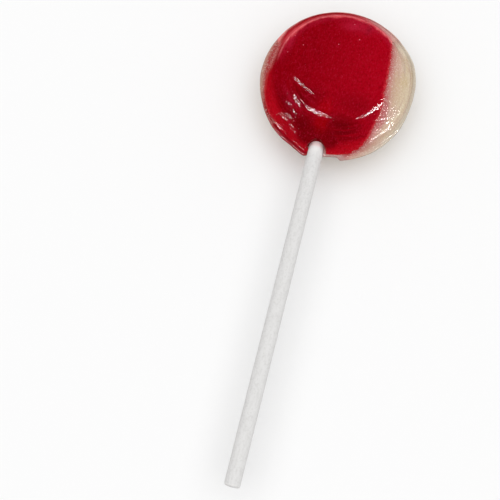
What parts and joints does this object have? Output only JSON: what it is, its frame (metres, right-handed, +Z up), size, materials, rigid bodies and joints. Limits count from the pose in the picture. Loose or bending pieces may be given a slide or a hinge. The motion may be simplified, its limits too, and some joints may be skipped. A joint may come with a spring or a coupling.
{
  "type": "lollipop",
  "caption": "Flat round boiled-sugar lollipop, red in front and cream behind, with a thin flash round its rim and a rolled paper stick, lying on its cream back.",
  "frame": {"origin": "middle of the flat on the cream back, which the lollipop lies on", "axes": "+Z up through the head and its red face, -Y along the stick towards its free end, +X to the right seen from above with the stick towards the viewer"},
  "size_m": [0.0402, 0.1276, 0.0155],
  "materials": {
    "red_sugar": "glossy, slightly pitted boiled sugar, deep red, a little translucent",
    "cream_sugar": "glossy, slightly pitted boiled sugar, milky cream",
    "stick_paper": "matte, tightly rolled white paper"
  },
  "bodies": {
    "root": {"red_candy": "red_sugar", "cream_candy": "cream_sugar", "stick": "stick_paper"}
  },
  "joints": []
}
